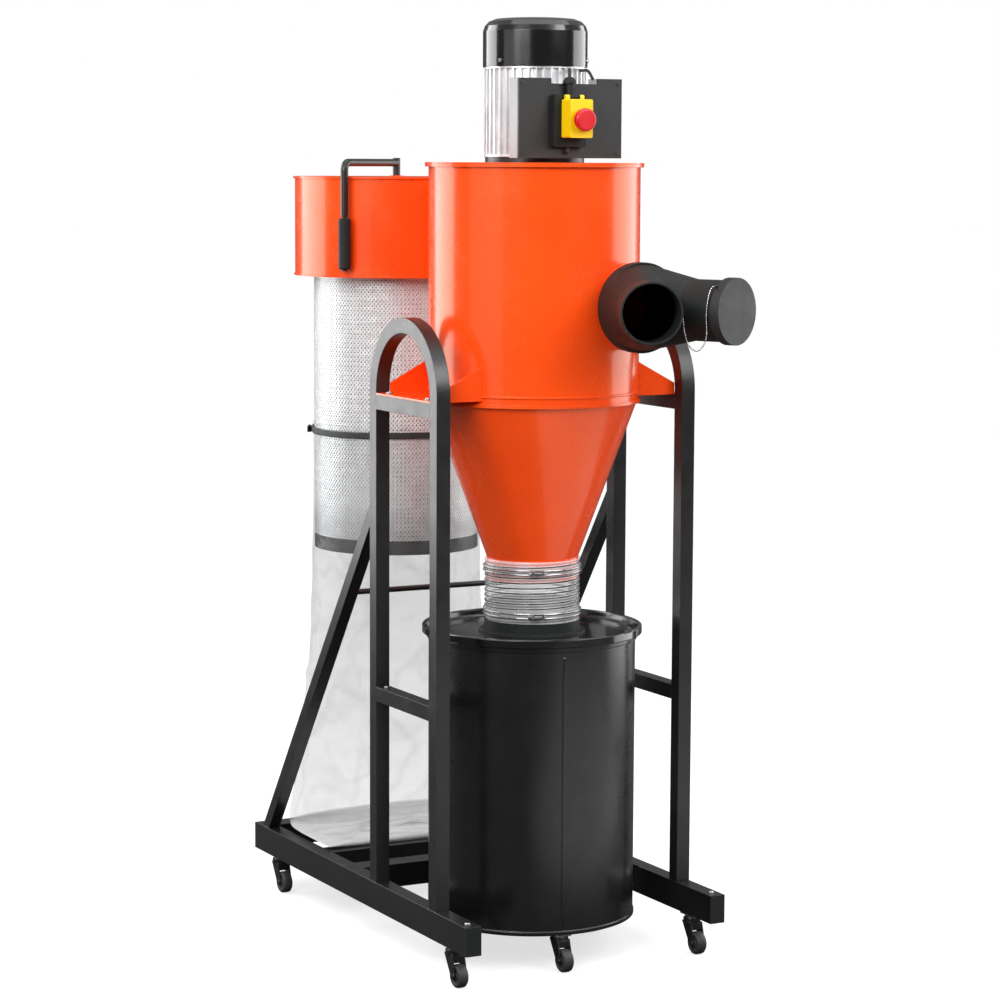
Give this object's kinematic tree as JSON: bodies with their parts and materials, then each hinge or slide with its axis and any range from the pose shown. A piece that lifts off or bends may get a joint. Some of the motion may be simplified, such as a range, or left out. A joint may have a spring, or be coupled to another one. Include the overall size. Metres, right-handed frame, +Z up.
{
  "type": "dust collector",
  "caption": "Two-stage cyclone dust collector on a castored frame: drum below, motor on top, filter with clear bag behind, twin-port inlet.",
  "frame": {"origin": "middle of the footprint box, on the floor", "axes": "+Z up, -Y to the front where the inlet points, +X to the right seen from the front"},
  "size_m": [0.5, 1.1229, 1.61],
  "materials": {
    "frame_tube": "satin",
    "cyclone_paint": "gloss",
    "bare_steel": "satin",
    "motor_alloy": "satin",
    "black_cover": "gloss",
    "box_plastic": "matte",
    "black_plastic": "matte",
    "yellow_plastic": "gloss",
    "red_plastic": "gloss",
    "green_plastic": "gloss",
    "drum_paint": "satin",
    "clear_hose": "gloss",
    "filter_cloth": "matte",
    "clear_film": "gloss",
    "strap_web": "matte",
    "cable_rubber": "matte",
    "chain_steel": "polished",
    "wheel_rubber": "matte"
  },
  "bodies": {
    "frame": {"left_base_beam": "frame_tube", "right_base_beam": "frame_tube", "crossbeams": "frame_tube", "left_hoop": "frame_tube", "right_hoop": "frame_tube", "hoop_crossbars": "frame_tube", "diagonal_braces": "frame_tube", "brace_tie_bar": "frame_tube", "motor_mount": "frame_tube", "cyclone_barrel": "cyclone_paint", "cyclone_top_plate": "cyclone_paint", "cyclone_cone": "cyclone_paint", "mount_brackets": "cyclone_paint", "vortex_tube": "bare_steel", "screws_and_bolts": "bare_steel", "upper_hose_clamp": "bare_steel", "frame_caster_plates": "bare_steel", "beam_end_caps": "black_plastic", "motor_body": "motor_alloy", "fan_cover": "black_cover", "electrical_box": "box_plastic", "switch_base": "black_plastic", "motor_leads": "cable_rubber", "inlet_wye": "black_plastic", "cap_chain": "chain_steel", "drum_hose": "clear_hose", "filter_housing": "cyclone_paint", "outlet_duct": "cyclone_paint", "filter_element": "filter_cloth", "filter_end_ring": "black_plastic", "dust_bag": "clear_film", "bag_strap": "strap_web"},
    "rotor": {"motor_rotor": "bare_steel", "cooling_fan": "black_plastic", "impeller": "bare_steel"},
    "switch_flap": {"switch_flap": "yellow_plastic"},
    "stop_button": {"stop_button": "red_plastic"},
    "start_button": {"start_button": "green_plastic"},
    "filter_crank": {"filter_crank": "frame_tube"},
    "crank_grip": {"crank_grip": "black_plastic"},
    "port_cap": {"port_cap": "box_plastic"},
    "lid": {"drum_lid": "drum_paint", "lid_collar": "black_plastic", "lower_hose_clamp": "bare_steel"},
    "drum": {"drum_body": "drum_paint", "drum_caster_plates": "bare_steel"},
    "front_left_fork": {"front_left_fork": "frame_tube"},
    "front_left_wheel": {"front_left_wheel": "wheel_rubber"},
    "rear_left_fork": {"rear_left_fork": "frame_tube"},
    "rear_left_wheel": {"rear_left_wheel": "wheel_rubber"},
    "front_right_fork": {"front_right_fork": "frame_tube"},
    "front_right_wheel": {"front_right_wheel": "wheel_rubber"},
    "rear_right_fork": {"rear_right_fork": "frame_tube"},
    "rear_right_wheel": {"rear_right_wheel": "wheel_rubber"},
    "drum_front_fork": {"drum_front_fork": "frame_tube"},
    "drum_front_wheel": {"drum_front_wheel": "wheel_rubber"},
    "drum_right_fork": {"drum_right_fork": "frame_tube"},
    "drum_right_wheel": {"drum_right_wheel": "wheel_rubber"},
    "drum_left_fork": {"drum_left_fork": "frame_tube"},
    "drum_left_wheel": {"drum_left_wheel": "wheel_rubber"}
  },
  "joints": [
    {"name": "rotor_spin", "type": "hinge", "parent": "frame", "child": "rotor", "pos_m": [0, -0.17104, 1.4], "axis": [0, 0, 1], "continuous": true},
    {"name": "flap_hinge", "type": "hinge", "parent": "frame", "child": "switch_flap", "pos_m": [-0.004, -0.31504, 1.476], "axis": [-1, 0, 0], "range_deg": [0, 95]},
    {"name": "stop_press", "type": "slide", "parent": "switch_flap", "child": "stop_button", "axis": [0, 1, 0], "range_m": [0, 0.004], "stiffness_N_per_m": 600},
    {"name": "start_press", "type": "slide", "parent": "frame", "child": "start_button", "axis": [0, 1, 0], "range_m": [0, 0.003], "stiffness_N_per_m": 500},
    {"name": "crank_turn", "type": "hinge", "parent": "frame", "child": "filter_crank", "pos_m": [0, 0.36896, 1.366], "axis": [0, 0, 1], "range_deg": [-252, 42]},
    {"name": "grip_spin", "type": "hinge", "parent": "filter_crank", "child": "crank_grip", "pos_m": [-0.164, 0.24596, 1.221], "axis": [0, 0, 1], "continuous": true},
    {"name": "cap_pull", "type": "slide", "parent": "frame", "child": "port_cap", "axis": [0.4051, -0.9143, 0], "range_m": [0, 0.05]},
    {"name": "lid_lift", "type": "slide", "parent": "frame", "child": "lid", "axis": [0, 0, 1], "range_m": [0, 0.03], "deforming": ["drum_hose"]},
    {"name": "drum_roll_out", "type": "slide", "parent": "frame", "child": "drum", "axis": [0, -1, 0], "range_m": [0, 0.5]},
    {"name": "front_left_swivel", "type": "hinge", "parent": "frame", "child": "front_left_fork", "pos_m": [-0.2325, -0.33404, 0.05], "axis": [0, 0, 1], "continuous": true},
    {"name": "front_left_roll", "type": "hinge", "parent": "front_left_fork", "child": "front_left_wheel", "pos_m": [-0.2325, -0.35204, 0.02], "axis": [1, 0, 0], "continuous": true},
    {"name": "rear_left_swivel", "type": "hinge", "parent": "frame", "child": "rear_left_fork", "pos_m": [-0.2325, 0.38896, 0.05], "axis": [0, 0, 1], "continuous": true},
    {"name": "rear_left_roll", "type": "hinge", "parent": "rear_left_fork", "child": "rear_left_wheel", "pos_m": [-0.2325, 0.37096, 0.02], "axis": [1, 0, 0], "continuous": true},
    {"name": "front_right_swivel", "type": "hinge", "parent": "frame", "child": "front_right_fork", "pos_m": [0.2325, -0.33404, 0.05], "axis": [0, 0, 1], "continuous": true},
    {"name": "front_right_roll", "type": "hinge", "parent": "front_right_fork", "child": "front_right_wheel", "pos_m": [0.2325, -0.35204, 0.02], "axis": [1, 0, 0], "continuous": true},
    {"name": "rear_right_swivel", "type": "hinge", "parent": "frame", "child": "rear_right_fork", "pos_m": [0.2325, 0.38896, 0.05], "axis": [0, 0, 1], "continuous": true},
    {"name": "rear_right_roll", "type": "hinge", "parent": "rear_right_fork", "child": "rear_right_wheel", "pos_m": [0.2325, 0.37096, 0.02], "axis": [1, 0, 0], "continuous": true},
    {"name": "drum_front_swivel", "type": "hinge", "parent": "drum", "child": "drum_front_fork", "pos_m": [-0.02952, -0.33033, 0.05], "axis": [0, 0, 1], "continuous": true},
    {"name": "drum_front_roll", "type": "hinge", "parent": "drum_front_fork", "child": "drum_front_wheel", "pos_m": [-0.02952, -0.34833, 0.02], "axis": [1, 0, 0], "continuous": true},
    {"name": "drum_right_swivel", "type": "hinge", "parent": "drum", "child": "drum_right_fork", "pos_m": [0.15271, -0.11696, 0.05], "axis": [0, 0, 1], "continuous": true},
    {"name": "drum_right_roll", "type": "hinge", "parent": "drum_right_fork", "child": "drum_right_wheel", "pos_m": [0.15271, -0.13496, 0.02], "axis": [1, 0, 0], "continuous": true},
    {"name": "drum_left_swivel", "type": "hinge", "parent": "drum", "child": "drum_left_fork", "pos_m": [-0.12319, -0.06583, 0.05], "axis": [0, 0, 1], "continuous": true},
    {"name": "drum_left_roll", "type": "hinge", "parent": "drum_left_fork", "child": "drum_left_wheel", "pos_m": [-0.12319, -0.08383, 0.02], "axis": [1, 0, 0], "continuous": true}
  ]
}
